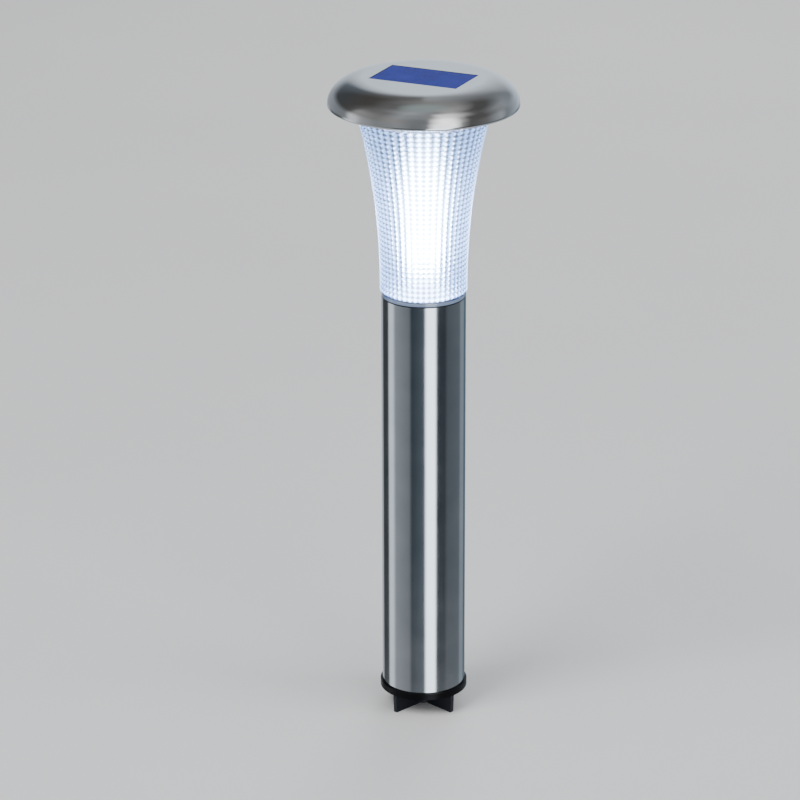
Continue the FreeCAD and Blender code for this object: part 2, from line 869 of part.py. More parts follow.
def led_lamp():
    body = new_body("led_lamp")
    turned(body, [
        ("0", "led_top"),
        ("0", "led_low"),
        ("led_radius", "led_low + led_radius", "led_radius", 1),
        ("led_radius", "led_top - led_flange_height"),
        ("led_flange", "led_top - led_flange_height"),
        ("led_flange", "led_top"),
    ])
    leads = new_sketch(body, "XY_Plane", "led_top")
    for side in ("-", ""):
        middle = side + "led_pitch / 2"
        add_rectangle(leads, middle + " - led_lead / 2", middle + " + led_lead / 2",
                      "-led_lead / 2", "led_lead / 2")
    padded(body, leads, "board_high - led_top + led_stub")


def switch_body():
    body = new_body("switch_body")
    low = "board_low - switch_height"
    sketch = new_sketch(body, "XY_Plane", low)
    add_rectangle(sketch, "switch_across - switch_length / 2 + knob_travel / 2",
                  "switch_across + switch_length / 2 + knob_travel / 2",
                  "switch_forward - switch_width / 2", "switch_forward + switch_width / 2")
    padded(body, sketch, "switch_height")
    room_depth = "knob_base_lift + knob_base_height + knob_play"
    room = new_sketch(body, "XY_Plane", f"{low} + {room_depth}")
    reach = "(knob_base_length / 2 + knob_play)"
    half = "(knob_width / 2 + knob_play)"
    add_rectangle(room, f"switch_across - {reach}", f"switch_across + {reach} + knob_travel",
                  f"switch_forward - {half}", f"switch_forward + {half}")
    pocketed(body, room, room_depth)


def switch_knob():
    base_low = "board_low - switch_height + knob_base_lift"
    base = box("switch_across - knob_base_length / 2", "switch_across + knob_base_length / 2",
               "switch_forward - knob_width / 2", "switch_forward + knob_width / 2",
               base_low, base_low + " + knob_base_height")
    stem = box("switch_across - knob_length / 2", "switch_across + knob_length / 2",
               "switch_forward - knob_width / 2", "switch_forward + knob_width / 2",
               "tray_low - knob_drop", base_low)
    keep(joined([base, stem]), "switch_knob")


# ---------------------------------------------------------------- head: battery

def battery():
    left = "-bay_half + contact_gap"
    can = lying_cylinder(left, "battery_back", "battery_height", "battery_radius", "battery_length")
    nub = lying_cylinder(left + " + battery_length", "battery_back", "battery_height",
                         "nub_radius", "nub_length")
    keep(joined([can, nub]), "battery")


def contact_plate():
    half = "contact_width / 2"
    keep(box("bay_half", "bay_right", f"battery_back - {half}", f"battery_back + {half}",
             "floor_high", "floor_high + contact_rise"), "contact_plate")


def contact_spring():
    """A conical coil of wire that stands on its own flat plate at the battery's negative end."""
    length = size("spring_room - spring_plate - spring_wire * 2")
    turns = size("spring_turns")
    slope = math.degrees(math.atan((size("spring_wide") - size("spring_narrow")) / length))
    path = Part.makeHelix(length / turns, length, size("spring_wide"), -slope)
    start = FreeCAD.Vector(size("spring_wide"), 0, 0)
    wire = Part.Wire(Part.makeCircle(size("spring_wire"), start, FreeCAD.Vector(0, 1, 0)))
    coil = Part.Wire(path).makePipeShell([wire], True, True)
    coil.rotate(FreeCAD.Vector(0, 0, 0), FreeCAD.Vector(0, 1, 0), 90)
    back = size("battery_back")
    height = size("battery_height")
    foot = size("spring_plate + spring_wire - spring_sink - spring_end")
    coil.translate(FreeCAD.Vector(foot, back, height))
    width = size("contact_width")
    reach = size("spring_wide")
    corner = FreeCAD.Vector(size("-spring_end"), back - width / 2, height - reach)
    plate = Part.makeBox(size("spring_plate"), width, reach * 2, corner)
    feature = doc.addObject("Part::Feature", "Spring")
    feature.Shape = plate.fuse(coil)
    keep(feature, "contact_spring")


def battery_door():
    body = new_body("battery_door")
    plate = new_sketch(body, "XY_Plane", "door_low")
    add_rectangle(plate, "-bay_half - door_lip", "bay_half + door_lip",
                  "bay_front - door_lip", "bay_rear + door_lip")
    padded(body, plate, "door_thickness")
    for side in ("-", ""):
        ear = new_sketch(body, "XY_Plane", "door_low")
        add_circle(ear, side + "ear_across", "ear_back", "ear_radius")
        padded(body, ear, "door_thickness")
    pad = new_sketch(body, "XY_Plane", "tray_low")
    add_rectangle(pad, "-bay_half + door_play", "bay_half - door_play",
                  "bay_front + door_play", "bay_rear - door_play")
    padded(body, pad, "pad_high - tray_low")
    holes = new_sketch(body, "XY_Plane", "tray_low")
    for side in ("-", ""):
        add_circle(holes, side + "ear_across", "ear_back", "door_screw_radius + door_screw_fit")
    pocketed(body, holes, "door_thickness")


def door_screws():
    screws = [pan_screw(side + "ear_across", "ear_back", "door_low - screw_head_height",
                        "door_screw_length", "door_screw_radius", True)
              for side in ("-", "")]
    keep(grouped(screws), "door_screws")


# ---------------------------------------------------------------- head: leads

# Share of the shorter of its two runs that each bend of a lead takes up.
BEND_SHARE = 0.45


def lead(label, places):
    """An insulated wire through places, with arcs as large as its runs allow."""
    points = [FreeCAD.Vector(*[size(value) for value in place]) for place in places]
    edges = []
    start = points[0]
    for before, corner, after in zip(points, points[1:], points[2:]):
        inward = (before - corner).normalize()
        outward = (after - corner).normalize()
        half_turn = (math.pi - inward.getAngle(outward)) / 2
        setback = BEND_SHARE * min((before - corner).Length, (after - corner).Length)
        radius = setback / math.tan(half_turn)
        bisector = (inward + outward).normalize()
        centre = corner + bisector * (radius / math.cos(half_turn))
        middle = centre - bisector * radius
        first = corner + inward * setback
        last = corner + outward * setback
        edges.append(Part.LineSegment(start, first).toShape())
        edges.append(Part.Arc(first, middle, last).toShape())
        start = last
    edges.append(Part.LineSegment(start, points[-1]).toShape())
    section = Part.Wire(Part.makeCircle(size("lead_radius"), points[0], edges[0].tangentAt(0)))
    feature = doc.addObject("Part::Feature", "Lead")
    feature.Shape = Part.Wire(edges).makePipeShell([section], True, False)
    keep(feature, label)


def leads():
    start, end = "solar_lead_start", "solar_lead_end"
    for label, side in (("solar_lead_red", ""), ("solar_lead_black", "-")):
        across = side + "solar_lead_across"
        lead(label, [(across, start, "backing_low"), (across, start, "backing_low - lead_straight"),
                     (across, end, "board_high + lead_straight"), (across, end, "board_high")])
    over = "battery_top + lead_play"
    middle = "battery_back"
    back = "battery_lead_back"
    right, left = "battery_lead_right", "battery_lead_left"
    plate = "-spring_end + spring_plate / 2"
    contact = "floor_high + contact_rise"
    lead("battery_lead_red", [("bay_right", middle, contact), ("bay_right", middle, over),
                              (right, back, over), (right, back, "board_high")])
    lead("battery_lead_black", [(plate, middle, "battery_height + spring_wide"), (plate, middle, over),
                                (left, back, over), (left, back, "board_high")])


# ---------------------------------------------------------------- build and write

ground_spike()
base_socket()
stem_tube()
lens_holder()
prismatic_lens()
lens_mouth()
lens_lugs()
reflector_cone()
mouth_seal()
cap_studs(head_cap())
stud_nuts()
window_gasket()
solar_cover()
solar_cells()
flat_plate("solar_backing", "module_length", "module_width", "backing_low", "backing_thickness")
head_tray()
bayonet_tongues()
circuit_board()
board_screws()
driver_chip()
inductor()
led_lamp()
switch_body()
switch_knob()
battery()
contact_plate()
contact_spring()
battery_door()
door_screws()
leads()
doc.recompute()

for item in doc.Objects:
    if {"Invalid", "Error"} & set(item.State):
        raise RuntimeError(f"{item.Label} failed: {item.State}")
for item in subparts:
    if item.Shape.isNull() or not item.Shape.isValid():
        raise RuntimeError(f"{item.Label} has no valid shape")
os.makedirs("parts", exist_ok=True)
for item in subparts:
    item.Shape.exportStep(f"parts/{item.Label}.step")
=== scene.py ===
import json
import math

import bpy
import bmesh
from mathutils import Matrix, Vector

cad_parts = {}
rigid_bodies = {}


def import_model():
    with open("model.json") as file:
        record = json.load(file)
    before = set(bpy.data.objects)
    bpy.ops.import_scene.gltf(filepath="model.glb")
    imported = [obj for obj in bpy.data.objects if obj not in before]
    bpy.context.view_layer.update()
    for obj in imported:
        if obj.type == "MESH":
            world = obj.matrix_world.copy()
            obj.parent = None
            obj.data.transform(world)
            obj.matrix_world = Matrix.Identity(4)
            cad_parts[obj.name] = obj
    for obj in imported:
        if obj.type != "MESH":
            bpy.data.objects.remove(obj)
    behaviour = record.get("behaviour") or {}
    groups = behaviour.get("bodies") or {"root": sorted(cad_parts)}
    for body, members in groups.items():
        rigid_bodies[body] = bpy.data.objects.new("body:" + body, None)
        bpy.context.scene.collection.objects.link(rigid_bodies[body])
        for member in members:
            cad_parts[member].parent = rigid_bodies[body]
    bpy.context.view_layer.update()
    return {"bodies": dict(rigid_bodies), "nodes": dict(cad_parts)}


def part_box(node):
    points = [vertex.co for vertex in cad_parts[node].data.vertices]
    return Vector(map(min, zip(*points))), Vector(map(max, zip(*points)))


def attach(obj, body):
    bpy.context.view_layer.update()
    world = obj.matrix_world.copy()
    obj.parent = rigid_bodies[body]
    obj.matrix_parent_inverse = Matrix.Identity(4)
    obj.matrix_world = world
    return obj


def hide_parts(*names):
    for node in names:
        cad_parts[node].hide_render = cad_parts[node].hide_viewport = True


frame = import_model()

# Solar garden light: its visible shells, materials, lit lamp, studio and camera.

MM = 0.001

# ---------------------------------------------------------------- places read from the frame

TUBE_LOW, TUBE_HIGH = (corner.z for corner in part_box("stem_tube"))
TUBE_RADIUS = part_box("stem_tube")[1].x
HOLDER_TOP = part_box("lens_holder")[1].z
LENS_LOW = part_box("prismatic_lens")[0].z
LENS_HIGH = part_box("lens_mouth")[1].z
CAP_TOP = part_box("head_cap")[1].z
CAP_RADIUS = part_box("head_cap")[1].x
LED_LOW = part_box("led_lamp")[0].z
CONE_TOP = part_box("reflector_cone")[1].z

# Sizes of the detailed pieces, as in the CAD model.
TUBE_WALL = 0.8 * MM
CAP_SHEET = 0.8 * MM
CAP_FLAT = 41.8 * MM
FLANK_HEIGHT = 18.9 * MM
FLANK_RADIUS = 15.0 * MM
CURL_RADIUS = 1.6 * MM
WINDOW_LENGTH = 65.6 * MM
WINDOW_WIDTH = 38.8 * MM
WINDOW_TURN = math.radians(-24.5)
LENS_WALL = 2.4 * MM
RIM_HEIGHT = 3.2 * MM
MOUTH_HEIGHT = 5.0 * MM
MOUTH_RADIUS = 44.6 * MM
FOOT_RADIUS = 30.7 * MM
FOOT_HEIGHT = 5.5 * MM
SWEEP_RADIUS = 490.0 * MM
PLUG_RADIUS = 26.9 * MM
PLUG_WALL = 1.7 * MM
LEDGE = 1.7 * MM
LEDGE_HEIGHT = 1.0 * MM
PRISM_COLUMNS = 48
PRISM_ROWS = 35
PRISM_STEPS = 6
PRISM_HEIGHT = 1.7 * MM
PRISM_SINK = 1.4 * MM
SEAM_WIDTH = 1.1 * MM
FINGER_PITCH = 1.9 * MM
TRACK_PITCH = 3.1 * MM
LAMP_POWER = 0.0016
GRID_LOW = HOLDER_TOP + RIM_HEIGHT
GRID_HIGH = LENS_HIGH - MOUTH_HEIGHT

# How finely the round pieces are divided.
TUBE_ANGLES = 192
CAP_ANGLES = 256
LINING_STEPS = 40

# The studio, in metres and radians, with the focal length in mm.
FOCAL_LENGTH = 160.7
CAMERA_DISTANCE = 2.3839
CAMERA_HEIGHT = 1.1233
CAMERA_TILT = math.radians(20.43)
CAMERA_SHIFT = -0.0295
LIGHTS_AIM = Vector((0, 0, 0.3))


# ---------------------------------------------------------------- mesh helpers

def make_object(name, vertices, faces, smooth_below=35):
    """A mesh object from vertices and faces, smooth except at edges sharper than an angle."""
    mesh = bpy.data.meshes.new(name)
    mesh.from_pydata(vertices, [], faces)
    build = bmesh.new()
    build.from_mesh(mesh)
    bmesh.ops.remove_doubles(build, verts=build.verts, dist=0.001 * MM)
    bmesh.ops.recalc_face_normals(build, faces=build.faces)
    build.to_mesh(mesh)
    build.free()
    mesh.shade_smooth()
    mesh.set_sharp_from_angle(angle=math.radians(smooth_below))
    piece = bpy.data.objects.new(name, mesh)
    bpy.context.scene.collection.objects.link(piece)
    return piece


def arc(centre_r, centre_z, radius, start, end, steps):
    """Points (r, z) along an arc, angles in degrees from the outward direction."""
    points = []
    for index in range(steps + 1):
        angle = math.radians(start + (end - start) * index / steps)
        points.append((centre_r + radius * math.cos(angle), centre_z + radius * math.sin(angle)))
    return points


def around(name, section_at, angles, smooth_below=35):
    """A closed skin: section_at(angle) gives a closed loop of (r, z), the same length at each angle."""
    vertices = []
    for angle in angles:
        for radius, height in section_at(angle):
            vertices.append((radius * math.cos(angle), radius * math.sin(angle), height))
    count = len(vertices) // len(angles)
    faces = []
    for turn in range(len(angles)):
        here, there = turn * count, (turn + 1) % len(angles) * count
        for step in range(count):
            after = (step + 1) % count
            faces.append((here + step, there + step, there + after, here + after))
    return make_object(name, vertices, faces, smooth_below)


def even_angles(count):
    return [2 * math.pi * index / count for index in range(count)]


def soften(node, width):
    """Round the edges of a CAD node with a modifier. Its own mesh stays as it is."""
    bevel = frame["nodes"][node].modifiers.new("soft_edges", "BEVEL")
    bevel.width = width
    bevel.segments = 2
    bevel.limit_method = "ANGLE"
    bevel.angle_limit = math.radians(40)
    bevel.harden_normals = True


# ---------------------------------------------------------------- material helpers

class Graph:
    """Short ways to add nodes to a material's or the world's node tree."""

    def __init__(self, tree, coordinates):
        self.tree = tree
        self.place = tree.nodes.new("ShaderNodeTexCoord").outputs[coordinates]

    def feed(self, value, socket):
        """Link another node's output to a socket, or set the socket to a number or a colour."""
        if isinstance(value, bpy.types.NodeSocket):
            self.tree.links.new(value, socket)
        else:
            socket.default_value = value

    def math(self, operation, *values):
        node = self.tree.nodes.new("ShaderNodeMath")
        node.operation = operation
        for value, socket in zip(values, node.inputs):
            self.feed(value, socket)
        return node.outputs[0]

    def split(self):
        node = self.tree.nodes.new("ShaderNodeSeparateXYZ")
        self.feed(self.place, node.inputs[0])
        return node.outputs

    def join(self, *values):
        node = self.tree.nodes.new("ShaderNodeCombineXYZ")
        for value, socket in zip(values, node.inputs):
            self.feed(value, socket)
        return node.outputs[0]

    def ramp(self, factor, *stops):
        """Colour ramp. Each stop is (place, colour), and a single number is a grey."""
        node = self.tree.nodes.new("ShaderNodeValToRGB")
        self.feed(factor, node.inputs["Fac"])
        elements = node.color_ramp.elements
        while len(elements) < len(stops):
            elements.new(0.5)
        for element, (position, colour) in zip(elements, stops):
            element.position = position
            if isinstance(colour, (int, float)):
                colour = (colour, colour, colour)
            element.color = (*colour, 1)
        return node.outputs["Color"]

    def mix(self, factor, first, second):
        """A blend of two colours."""
        node = self.tree.nodes.new("ShaderNodeMix")
        node.data_type = "RGBA"
        for value, socket in ((factor, "Factor"), (first, "A"), (second, "B")):
            matching = [item for item in node.inputs if item.name == socket and item.enabled]
            self.feed(value, matching[0])
        return next(item for item in node.outputs if item.enabled)

    def spread(self, factor, low, high):
        """Map a factor of 0 to 1 onto low to high."""
        return self.math("MULTIPLY_ADD", factor, high - low, low)


class Shader(Graph):
    """A node material with one Principled shader."""

    def __init__(self, name, metallic=0.0):
        self.material = bpy.data.materials.new(name)
        self.material.use_nodes = True
        super().__init__(self.material.node_tree, "Object")
        self.surface = self.tree.nodes["Principled BSDF"]
        self.set("Metallic", metallic)

    def set(self, socket, value):
        self.feed(value, self.surface.inputs[socket])

    def polar(self):
        """Angle in radians about the lamp's axis, distance from the axis, and height."""
        x, y, z = self.split()
        angle = self.math("ARCTAN2", y, x)
        squared = self.math("ADD", self.math("MULTIPLY", x, x), self.math("MULTIPLY", y, y))
        radius = self.math("SQRT", squared)
        return angle, radius, z

    def noise(self, scale, detail=3.0, vector=None, roughness=0.5):
        node = self.tree.nodes.new("ShaderNodeTexNoise")
        self.feed(vector or self.place, node.inputs["Vector"])
        node.inputs["Scale"].default_value = scale
        node.inputs["Detail"].default_value = detail
        node.inputs["Roughness"].default_value = roughness
        return node.outputs["Fac"]

    def bump(self, height, distance, strength=1.0):
        node = self.tree.nodes.new("ShaderNodeBump")
        node.inputs["Strength"].default_value = strength
        node.inputs["Distance"].default_value = distance
        self.feed(height, node.inputs["Height"])
        self.set("Normal", node.outputs["Normal"])


def give(piece, *shaders):
    """Put these materials in a piece's slots, in place of what it has."""
    piece.data.materials.clear()
    for shader in shaders:
        piece.data.materials.append(shader.material)


def dress(shader, *nodes):
    for node in nodes:
        give(frame["nodes"][node], shader)


# ---------------------------------------------------------------- materials

def brushed_tube():
    """Stainless tube: near mirror, with fine grain along its length and slight smudges."""
    steel = Shader("brushed_tube", metallic=1.0)
    angle, _, height = steel.polar()
    stretched = steel.join(steel.math("MULTIPLY", angle, 140), steel.math("MULTIPLY", height, 14), 0.0)
    grain = steel.noise(1.0, 4, stretched)
    smudge = steel.noise(38, 3)
    marks = steel.math("ADD", steel.math("MULTIPLY", grain, 0.6), steel.math("MULTIPLY", smudge, 0.4))
    steel.set("Roughness", steel.spread(marks, 0.06, 0.20))
    steel.set("Base Color", steel.ramp(smudge, (0.3, (0.58, 0.59, 0.61)), (0.75, (0.66, 0.67, 0.68))))
    steel.bump(grain, 0.004 * MM, 0.5)
    return steel


def spun_cap():
    """Spun stainless: rings of fine tool marks, satin on top and brighter on the flank."""
    steel = Shader("spun_cap", metallic=1.0)
    angle, radius, height = steel.polar()
    rings = steel.noise(1.0, 5, steel.join(steel.math("MULTIPLY", radius, 2600),
                                           steel.math("MULTIPLY", height, 2600),
                                           steel.math("MULTIPLY", angle, 1.5)))
    smudge = steel.noise(30, 4)
    top = steel.ramp(steel.math("DIVIDE", radius, CAP_RADIUS), (0.58, 0.06), (0.66, 0.0))
    marks = steel.math("ADD", steel.math("MULTIPLY", rings, 0.10), steel.math("MULTIPLY", smudge, 0.08))
    steel.set("Roughness", steel.math("ADD", steel.math("ADD", marks, top), 0.03))
    steel.set("Base Color", steel.ramp(smudge, (0.3, (0.60, 0.60, 0.61)), (0.75, (0.68, 0.68, 0.68))))
    steel.bump(rings, 0.006 * MM, 0.5)
    return steel


def plastic(name, colour, roughness, grain=0.02, shine=0.5):
    """Moulded plastic with fine grain and slightly uneven gloss."""
    shader = Shader(name)
    fine = shader.noise(1400, 2)
    broad = shader.noise(60, 3)
    shader.set("Roughness", shader.spread(broad, roughness - 0.08, roughness + 0.08))
    darker = tuple(value * 0.86 for value in colour)
    lighter = tuple(min(1.0, value * 1.1) for value in colour)
    shader.set("Base Color", shader.ramp(broad, (0.25, darker), (0.8, lighter)))
    shader.set("Specular IOR Level", shine)
    shader.bump(fine, grain * MM, 0.6)
    return shader


def plated(name, colour, roughness):
    """Plated or drawn metal with light scratches."""
    shader = Shader(name, metallic=1.0)
    scratch = shader.noise(220, 6, roughness=0.7)
    shader.set("Roughness", shader.spread(scratch, roughness - 0.08, roughness + 0.15))
    darker = tuple(value * 0.8 for value in colour)
    shader.set("Base Color", shader.ramp(scratch, (0.3, darker), (0.7, colour)))
    shader.bump(scratch, 0.01 * MM, 0.4)
    return shader


def prism_lens():
    """Lit clear plastic: it blurs the light inside. Its glow is painted emission, strongest a third of the
    way up, and the corners between prisms carry painted shade in colour and glow.
    """
    lens = Shader("prism_lens")
    angle, _, height = lens.polar()
    across = lens.math("COSINE", lens.math("MULTIPLY", angle, PRISM_COLUMNS))
    pitch = (GRID_HIGH - GRID_LOW) / PRISM_ROWS
    rows = lens.math("COSINE", lens.math("MULTIPLY", lens.math("SUBTRACT", height, GRID_LOW),
                                         2 * math.pi / pitch))
    # corner rises towards the corners between prisms, where painted shade darkens the colour and the glow
    corner = lens.math("MULTIPLY_ADD", lens.math("ADD", across, rows), 0.25, 0.5)
    haze = lens.noise(45, 2)
    rise = lens.math("DIVIDE", lens.math("SUBTRACT", height, GRID_LOW), GRID_HIGH - GRID_LOW)
    lens.set("Base Color", lens.ramp(corner, (0.28, (0.25, 0.43, 0.82)), (0.46, (0.13, 0.22, 0.44)),
                                     (0.70, (0.035, 0.055, 0.09))))
    lens.set("Roughness", lens.spread(haze, 0.36, 0.46))
    lens.set("IOR", 1.35)
    lens.set("Transmission Weight", lens.ramp(corner, (0.50, 0.72), (0.80, 0.48)))
    lens.set("Specular IOR Level", 0.3)
    lens.set("Coat Weight", 0.12)
    lens.set("Coat Roughness", 0.06)
    # Painted glow in place of the lamp's light coming through the lens, dark at the prism corners and
    # strongest a third of the way up
    lens.set("Emission Color", lens.ramp(corner, (0.28, (0.19, 0.40, 0.95)), (0.46, (0.06, 0.14, 0.36)),
                                         (0.70, (0.0, 0.01, 0.02))))
    lens.set("Emission Strength", lens.ramp(rise, (0.0, 0.10), (0.35, 0.52), (1.0, 0.28)))
    return lens


def smooth_rim():
    """The smooth ends of the lens: clear at the top, denser and darker at the foot, with painted shade along
    the seam at each and a painted glow that is brighter at the top.
    """
    rim = Shader("lens_rim")
    _, _, height = rim.polar()
    haze = rim.noise(70, 3)
    from_seams = rim.math("MINIMUM", rim.math("ABSOLUTE", rim.math("SUBTRACT", height, GRID_LOW)),
                          rim.math("ABSOLUTE", rim.math("SUBTRACT", height, GRID_HIGH)))
    # Painted shade along the seams where the prisms meet each smooth rim
    seam_shade = rim.ramp(rim.math("DIVIDE", from_seams, SEAM_WIDTH), (0.5, 1.0), (1.0, 0.0))
    upper = rim.math("GREATER_THAN", height, (GRID_LOW + GRID_HIGH) / 2)
    clear = rim.ramp(haze, (0.3, (0.78, 0.86, 0.97)), (0.7, (0.92, 0.96, 1.0)))
    tint = rim.mix(upper, (0.16, 0.21, 0.31, 1), clear)
    rim.set("Roughness", rim.spread(haze, 0.04, 0.14))
    # Colour: darker at the foot, with the painted seam shade over it
    rim.set("Base Color", rim.mix(seam_shade, tint, (0.03, 0.05, 0.16, 1)))
    # Painted glow in place of the lamp's light, brighter on the upper rim and dark at the seams
    lit = rim.ramp(haze, (0.3, (0.42, 0.54, 0.80)), (0.7, (0.56, 0.68, 0.90)))
    glow = rim.mix(upper, (0.14, 0.18, 0.28, 1), lit)
    rim.set("Emission Color", rim.mix(seam_shade, glow, (0.0, 0.0, 0.01, 1)))
    rim.set("Emission Strength", 0.45)
    rim.set("Alpha", rim.spread(upper, 0.94, 0.4))
    rim.set("Coat Weight", 0.8)
    rim.set("Coat Roughness", 0.04)
    return rim


def inner_wall():
    """The inside of the lens, which lets the lamp's light through to the prisms."""
    wall = Shader("lens_inside")
    haze = wall.noise(70, 3)
    wall.set("Roughness", wall.spread(haze, 0.06, 0.16))
    wall.set("Base Color", wall.ramp(haze, (0.3, (0.9, 0.93, 0.98)), (0.7, (0.97, 0.98, 1.0))))
    wall.set("Alpha", 0.06)
    return wall


def silicon():
    """Violet-blue cells with fine printed fingers across each strip and slow changes of tint."""
    cell = Shader("silicon")
    x, y, _ = cell.split()
    along = cell.math("ADD", cell.math("MULTIPLY", x, math.cos(WINDOW_TURN)),
                      cell.math("MULTIPLY", y, math.sin(WINDOW_TURN)))
    fingers = cell.math("COSINE", cell.math("MULTIPLY", along, 2 * math.pi / FINGER_PITCH))
    tint = cell.noise(55, 3)
    line = cell.ramp(fingers, (0.965, 0.0), (0.995, 1.0))
    base = cell.ramp(tint, (0.3, (0.030, 0.038, 0.30)), (0.7, (0.050, 0.062, 0.46)))
    cell.set("Base Color", cell.mix(line, base, (0.12, 0.16, 0.55, 1)))
    cell.set("Roughness", cell.spread(tint, 0.25, 0.4))
    cell.set("Specular IOR Level", 0.05)
    return cell


def cover():
    """Glossy violet-blue module cover, with the cells faint below it."""
    glass = Shader("solar_cover")
    haze = glass.noise(60, 4)
    glass.set("Roughness", glass.spread(haze, 0.05, 0.16))
    glass.set("Base Color", glass.ramp(haze, (0.3, (0.024, 0.034, 0.30)), (0.7, (0.036, 0.048, 0.42))))
    glass.set("Alpha", 0.75)
    glass.set("Specular IOR Level", 0.012)
    return glass


def lit_cone():
    """White moulded cone with a painted glow for the diode's beam on it, brightest near its tip."""
    cone = Shader("cone_white")
    _, radius, _ = cone.polar()
    haze = cone.noise(90, 3)
    cone.set("Roughness", cone.spread(haze, 0.22, 0.38))
    cone.set("Base Color", cone.ramp(haze, (0.3, (0.82, 0.85, 0.89)), (0.7, (0.90, 0.92, 0.94))))
    out = cone.math("DIVIDE", radius, PLUG_RADIUS)
    # Painted glow in place of the diode's light on the cone: white at the tip, dark at the rim
    cone.set("Emission Color", cone.ramp(out, (0.0, (1.0, 1.0, 1.0)), (0.70, (0.8, 0.88, 1.0)),
                                         (0.98, (0.03, 0.06, 0.14))))
    cone.set("Emission Strength", 18.0)
    return cone


def board_green():
    """Solder mask with darker tracks under it."""
    board = Shader("circuit_board")
    x, _, _ = board.split()
    wander = board.math("MULTIPLY", board.noise(90, 1), 4 * MM)
    tracks = board.math("COSINE", board.math("MULTIPLY", board.math("ADD", x, wander),
                                             2 * math.pi / TRACK_PITCH))
    board.set("Base Color", board.ramp(tracks, (0.45, (0.015, 0.12, 0.05)), (0.6, (0.03, 0.22, 0.09))))
    board.set("Roughness", 0.35)
    board.bump(tracks, 0.02 * MM, 0.5)
    board.set("Coat Weight", 0.4)
    return board


def battery_sleeve():
    """A green sleeve with bare metal ends, and no print."""
    sleeve = Shader("battery_sleeve")
    x, _, _ = sleeve.split()
    low, high = (corner.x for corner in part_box("battery"))
    along = sleeve.math("DIVIDE", sleeve.math("SUBTRACT", x, low), high - low)
    metal = (0.7, 0.7, 0.69)
    green = (0.05, 0.3, 0.12)
    sleeve.set("Base Color", sleeve.ramp(along, (0.0, metal), (0.03, green), (0.80, green), (0.82, metal)))
    sleeve.set("Roughness", sleeve.spread(sleeve.noise(90, 3), 0.2, 0.4))
    return sleeve


def diode():
    """Clear epoxy diode, lit."""
    led = Shader("led")
    haze = led.noise(400, 2)
    led.set("Base Color", (0.95, 0.96, 1.0, 1))
    led.set("Roughness", led.spread(haze, 0.05, 0.15))
    led.set("Emission Color", led.ramp(haze, (0.3, (0.8, 0.88, 1.0)), (0.7, (1.0, 1.0, 1.0))))
    led.set("Emission Strength", 6.0)
    return led


# ---------------------------------------------------------------- pieces

def build_tube(steel):
    """A thin round shell with eased edges."""
    bore = TUBE_RADIUS - TUBE_WALL
    ease = 0.15 * MM
    section = [
        (TUBE_RADIUS - ease, TUBE_LOW), (TUBE_RADIUS, TUBE_LOW + ease),
        (TUBE_RADIUS, TUBE_HIGH - ease), (TUBE_RADIUS - ease, TUBE_HIGH),
        (bore + ease, TUBE_HIGH), (bore, TUBE_HIGH - ease),
        (bore, TUBE_LOW + ease), (bore + ease, TUBE_LOW),
    ]
    tube = around("tube_skin", lambda angle: section, even_angles(TUBE_ANGLES))
    give(tube, steel)
    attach(tube, "stem")
    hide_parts("stem_tube")


def window_reach(angle, margin=0.0):
    """Distance from the axis to the window's edge, or to a margin outside it, in one direction."""
    local = angle - WINDOW_TURN
    half_length = WINDOW_LENGTH / 2 + margin
    half_width = WINDOW_WIDTH / 2 + margin
    across = max(abs(math.cos(local)), 1e-9)
    along = max(abs(math.sin(local)), 1e-9)
    return min(half_length / across, half_width / along)


def build_cap(steel):
    """One sheet: a flat top with the window, a rounded shoulder and flank, and a rim curled in."""
    under = CAP_TOP - CAP_SHEET
    ease = 0.2 * MM
    flank_low = CAP_TOP - FLANK_HEIGHT
    flank_middle = CAP_RADIUS - FLANK_RADIUS
    curl_middle = CAP_RADIUS - CURL_RADIUS
    # The shoulder's arc leaves the flat top and joins the flank's arc without a corner.
    out = flank_middle - CAP_FLAT
    shoulder = (out ** 2 + FLANK_HEIGHT ** 2 - FLANK_RADIUS ** 2) / (2 * (FLANK_HEIGHT - FLANK_RADIUS))
    shoulder_middle = CAP_TOP - shoulder
    meet = math.degrees(math.atan2(flank_low - shoulder_middle, out))
    outer = arc(CAP_FLAT, shoulder_middle, shoulder, 90, meet, 24)
    outer += arc(flank_middle, flank_low, FLANK_RADIUS, meet, 0, 20)[1:]
    curl = arc(curl_middle, flank_low, CURL_RADIUS, 0, -90, 8)
    inner_curl = arc(curl_middle, flank_low, CURL_RADIUS - CAP_SHEET, -90, 0, 6)
    inner = arc(flank_middle, flank_low, FLANK_RADIUS - CAP_SHEET, 0, meet, 14)
    inner += arc(CAP_FLAT, shoulder_middle, shoulder - CAP_SHEET, meet, 90, 16)[1:]
    skirt = outer + curl[1:] + inner_curl + inner[1:]

    def section(angle):
        edge = window_reach(angle)
        eased = window_reach(angle, ease)
        top = [(edge, CAP_TOP - ease), (eased, CAP_TOP)]
        for step in range(1, 4):
            top.append((eased + (CAP_FLAT - eased) * step / 4, CAP_TOP))
        below = [((CAP_FLAT + edge) / 2, under), (edge, under)]
        return top + skirt + below

    corner = math.atan2(WINDOW_WIDTH, WINDOW_LENGTH)
    corners = [WINDOW_TURN + value for value in (corner, -corner, math.pi - corner, math.pi + corner)]
    angles = sorted(even_angles(CAP_ANGLES) + [angle % (2 * math.pi) for angle in corners])
    cap = around("cap_skin", section, angles, 30)
    give(cap, steel)
    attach(cap, "head")
    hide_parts("head_cap")


def lens_radius(height):
    """The lens's outer radius between its prisms."""
    rise = max(0.0, height - GRID_LOW - FOOT_HEIGHT)
    return FOOT_RADIUS + SWEEP_RADIUS - math.sqrt(SWEEP_RADIUS ** 2 - rise ** 2)


def pillow(position):
    """Share of a prism's height at a place of 0 to 1 across it: 0 in the grooves, 1 in the middle."""
    return 4 * position * (1 - position)


